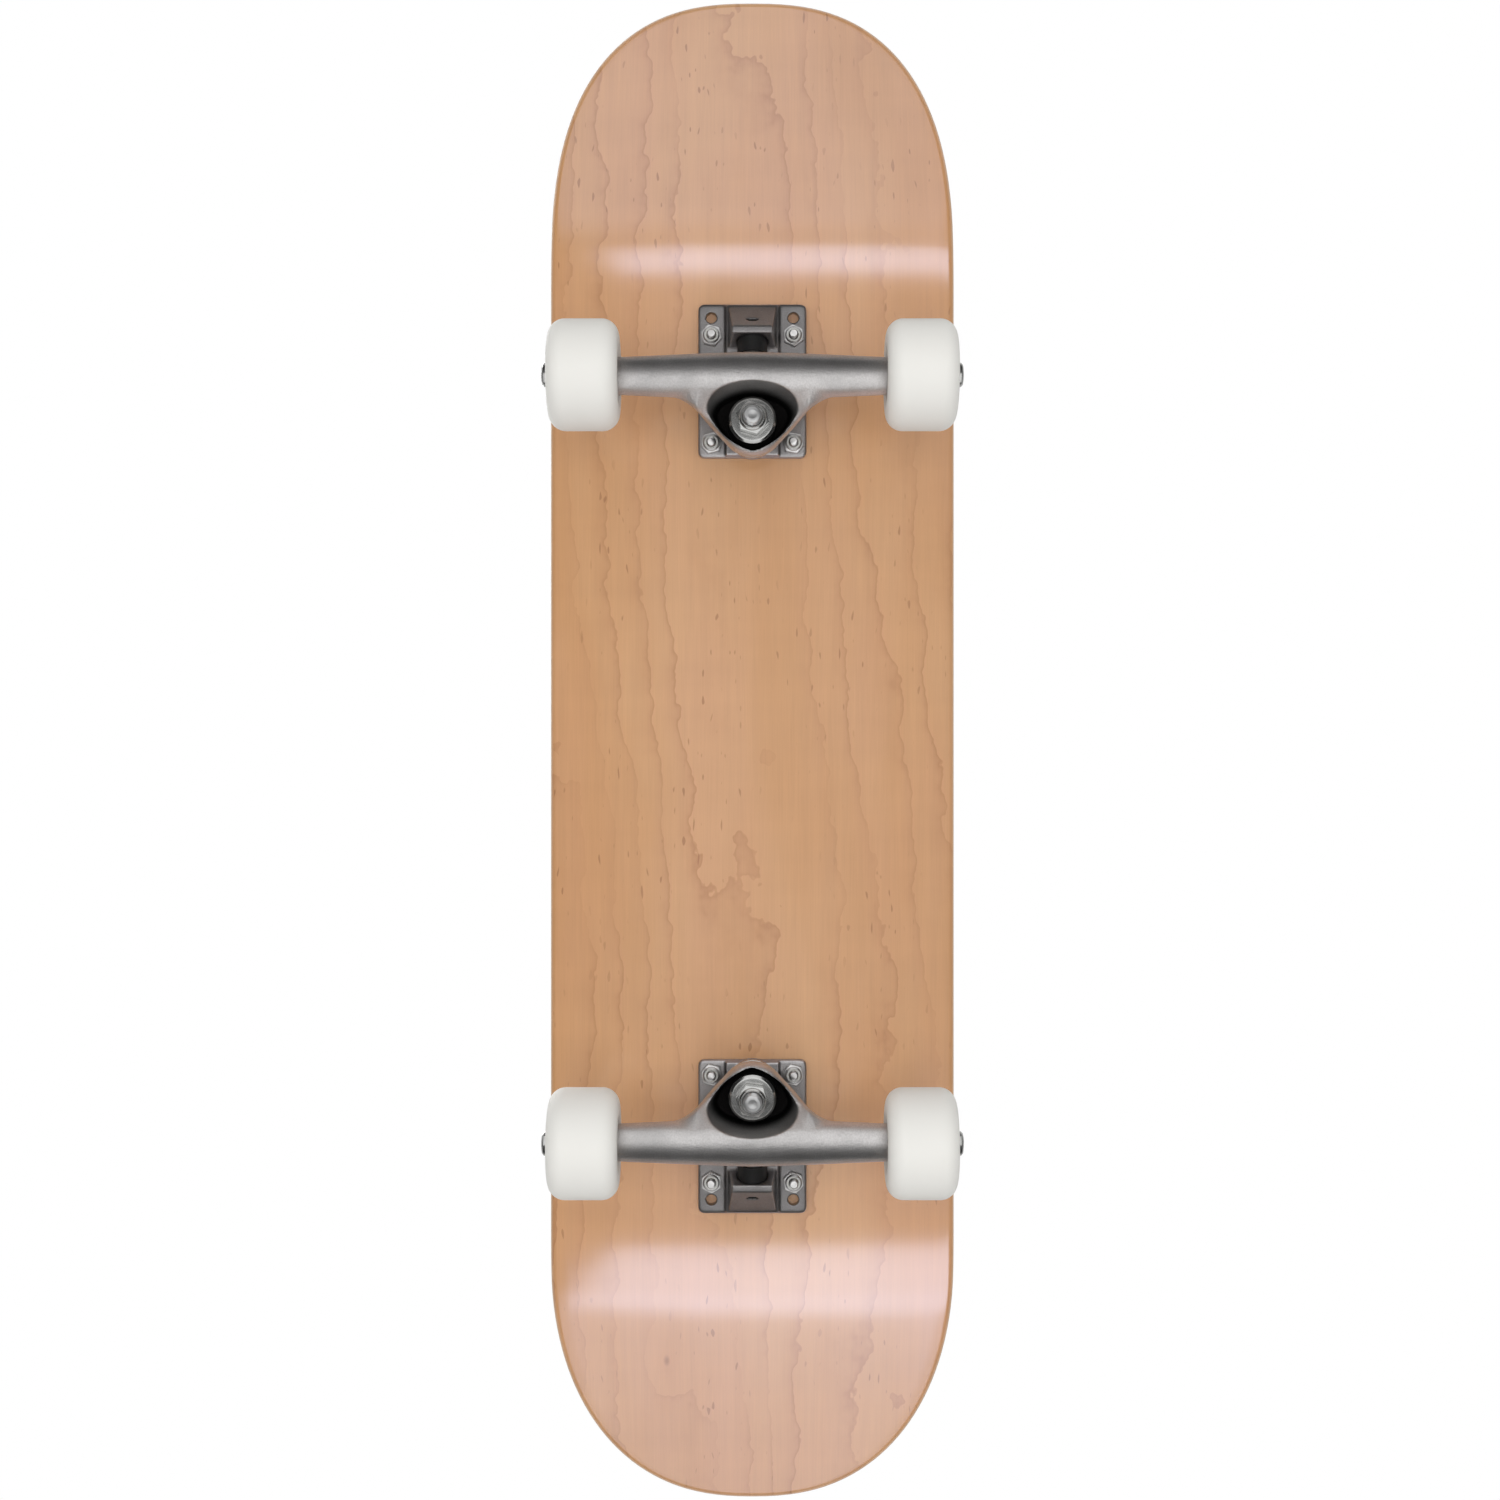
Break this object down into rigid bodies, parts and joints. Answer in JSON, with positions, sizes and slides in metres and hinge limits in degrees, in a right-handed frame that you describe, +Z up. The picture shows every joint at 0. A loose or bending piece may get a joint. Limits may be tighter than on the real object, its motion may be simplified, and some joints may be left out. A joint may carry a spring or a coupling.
{
  "type": "skateboard",
  "caption": "Street skateboard with a concave kicked maple deck, cast trucks that steer on rubber bushings and off-white wheels that spin on ball bearings.",
  "frame": {"origin": "centre of the bounding box at ground level, where the wheels rest", "axes": "+X towards the nose, +Y to the rider's left when facing the nose, +Z up"},
  "size_m": [0.7936, 0.2064, 0.1474],
  "materials": {
    "maple": "clear lacquer, semi-gloss",
    "grip": "coarse abrasive grit",
    "cast_aluminium": "tumbled casting, satin",
    "hanger_aluminium": "brushed casting, satin",
    "steel": "zinc plated, bright",
    "kingpin_steel": "machined, satin",
    "urethane_black": "moulded, satin",
    "wheel_urethane": "cast, off-white, satin",
    "bearing_steel": "ground, bright",
    "bolt_steel": "zinc plated, dull"
  },
  "bodies": {
    "deck": {"deck": "maple", "grip_tape": "grip", "nose_baseplate": "cast_aluminium", "nose_pivot_cup": "urethane_black", "nose_kingpin": "kingpin_steel", "nose_lower_washer": "steel", "nose_lower_bushing": "urethane_black", "nose_upper_bushing": "urethane_black", "nose_upper_washer": "steel", "nose_kingpin_nut": "steel", "nose_mount_bolt_inner_left": "bolt_steel", "nose_mount_nut_inner_left": "bolt_steel", "nose_mount_bolt_inner_right": "bolt_steel", "nose_mount_nut_inner_right": "bolt_steel", "nose_mount_bolt_outer_left": "bolt_steel", "nose_mount_nut_outer_left": "bolt_steel", "nose_mount_bolt_outer_right": "bolt_steel", "nose_mount_nut_outer_right": "bolt_steel", "tail_baseplate": "cast_aluminium", "tail_pivot_cup": "urethane_black", "tail_kingpin": "kingpin_steel", "tail_lower_washer": "steel", "tail_lower_bushing": "urethane_black", "tail_upper_bushing": "urethane_black", "tail_upper_washer": "steel", "tail_kingpin_nut": "steel", "tail_mount_bolt_inner_left": "bolt_steel", "tail_mount_nut_inner_left": "bolt_steel", "tail_mount_bolt_inner_right": "bolt_steel", "tail_mount_nut_inner_right": "bolt_steel", "tail_mount_bolt_outer_left": "bolt_steel", "tail_mount_nut_outer_left": "bolt_steel", "tail_mount_bolt_outer_right": "bolt_steel", "tail_mount_nut_outer_right": "bolt_steel"},
    "nose_hanger": {"nose_hanger": "hanger_aluminium", "nose_axle": "kingpin_steel", "nose_left_speed_washer": "steel", "nose_left_axle_nut": "steel", "nose_right_speed_washer": "steel", "nose_right_axle_nut": "steel"},
    "nose_left_wheel": {"nose_left_wheel": "wheel_urethane", "nose_left_inner_bearing": "bearing_steel", "nose_left_outer_bearing": "bearing_steel"},
    "nose_right_wheel": {"nose_right_wheel": "wheel_urethane", "nose_right_inner_bearing": "bearing_steel", "nose_right_outer_bearing": "bearing_steel"},
    "tail_hanger": {"tail_hanger": "hanger_aluminium", "tail_axle": "kingpin_steel", "tail_left_speed_washer": "steel", "tail_left_axle_nut": "steel", "tail_right_speed_washer": "steel", "tail_right_axle_nut": "steel"},
    "tail_left_wheel": {"tail_left_wheel": "wheel_urethane", "tail_left_inner_bearing": "bearing_steel", "tail_left_outer_bearing": "bearing_steel"},
    "tail_right_wheel": {"tail_right_wheel": "wheel_urethane", "tail_right_inner_bearing": "bearing_steel", "tail_right_outer_bearing": "bearing_steel"}
  },
  "joints": [
    {"name": "nose_steer", "type": "hinge", "parent": "deck", "child": "nose_hanger", "pos_m": [0.2027, 0, 0.06583], "axis": [0.9359, 0, 0.3524], "range_deg": [-12, 12], "stiffness_Nm_per_rad": 60, "deforming": ["nose_lower_bushing", "nose_upper_bushing"]},
    {"name": "nose_left_spin", "type": "hinge", "parent": "nose_hanger", "child": "nose_left_wheel", "pos_m": [0.1791, 0.0813, 0.02683], "axis": [0, 1, 0], "continuous": true},
    {"name": "nose_right_spin", "type": "hinge", "parent": "nose_hanger", "child": "nose_right_wheel", "pos_m": [0.1791, -0.0813, 0.02683], "axis": [0, 1, 0], "continuous": true},
    {"name": "tail_steer", "type": "hinge", "parent": "deck", "child": "tail_hanger", "pos_m": [-0.2151, 0, 0.06583], "axis": [0.9359, 0, -0.3524], "range_deg": [-12, 12], "stiffness_Nm_per_rad": 60, "deforming": ["tail_lower_bushing", "tail_upper_bushing"]},
    {"name": "tail_left_spin", "type": "hinge", "parent": "tail_hanger", "child": "tail_left_wheel", "pos_m": [-0.1915, 0.0813, 0.02683], "axis": [0, 1, 0], "continuous": true},
    {"name": "tail_right_spin", "type": "hinge", "parent": "tail_hanger", "child": "tail_right_wheel", "pos_m": [-0.1915, -0.0813, 0.02683], "axis": [0, 1, 0], "continuous": true}
  ]
}
